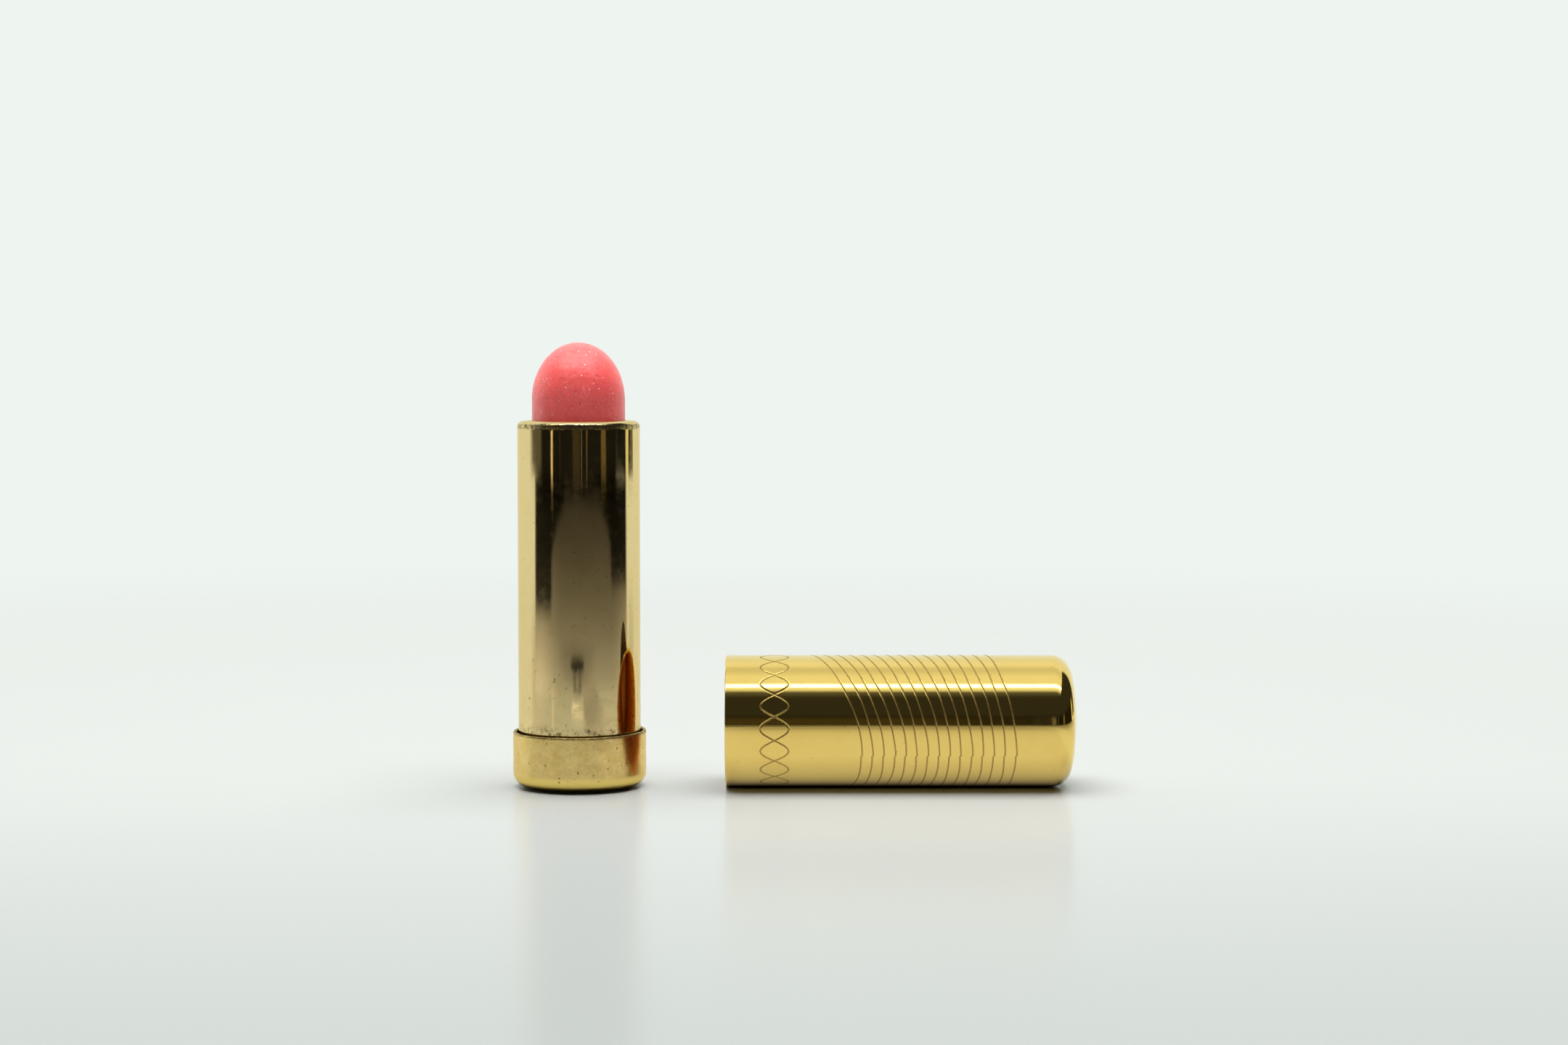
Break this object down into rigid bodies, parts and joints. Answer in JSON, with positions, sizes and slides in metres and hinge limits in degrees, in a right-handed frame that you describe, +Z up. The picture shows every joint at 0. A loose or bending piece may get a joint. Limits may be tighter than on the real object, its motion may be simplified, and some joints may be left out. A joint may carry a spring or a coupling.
{
  "type": "lipstick case",
  "caption": "Twist-up lipstick case: a mirror-polished barrel turns on a short base cup and lifts the lipstick on a lugged cup; the engraved round cap lies beside it.",
  "frame": {"origin": "centre of the underside of the base, on the surface the case stands on", "axes": "+Z up along the case's axis, +X from the case towards the lying cap's closed end, +Y to the back"},
  "size_m": [0.0776, 0.0184, 0.0611],
  "materials": {
    "label_paper": "matte",
    "base_brass": "worn polish, tarnished at the lip",
    "weight_steel": "plated",
    "plug_plastic": "moulded",
    "tube_metal": "drawn",
    "washer_plastic": "smooth",
    "ring_rubber": "smooth",
    "stop_steel": "bright",
    "cam_brass": "plain drawn",
    "barrel_brass": "mirror polish, lightly worn",
    "cup_brass": "bright",
    "pin_steel": "bright",
    "lipstick_wax": "waxy with fine shimmer",
    "cap_brass": "mirror polish, engraved rings",
    "liner_lacquer": "amber lacquer"
  },
  "bodies": {
    "base": {"shade_label": "label_paper", "base_cup": "base_brass", "base_weight": "weight_steel", "base_plug": "plug_plastic", "slotted_tube": "tube_metal", "thrust_washer": "washer_plastic", "friction_ring": "ring_rubber", "stop_ring": "stop_steel"},
    "barrel": {"cam_sleeve": "cam_brass", "barrel_shell": "barrel_brass"},
    "carrier": {"product_cup": "cup_brass", "cup_pin_left": "pin_steel", "cup_pin_right": "pin_steel", "lipstick": "lipstick_wax"},
    "cap": {"cap_shell": "cap_brass", "cap_liner": "liner_lacquer"}
  },
  "joints": [
    {"name": "barrel_turn", "type": "hinge", "parent": "base", "child": "barrel", "pos_m": [0, 0, 0.02], "axis": [0, 0, 1], "range_deg": [-295, 244]},
    {"name": "carrier_lift", "type": "slide", "parent": "base", "child": "carrier", "axis": [0, 0, 1], "range_m": [-0.0116, 0.014]},
    {"name": "cap_pull", "type": "slide", "parent": "base", "child": "cap", "axis": [1, 0, 0], "range_m": [-0.01, 0.04]}
  ],
  "couplings": [
    {"joint": "carrier_lift", "follows": "barrel_turn", "m_per_rad": -0.0027162}
  ]
}
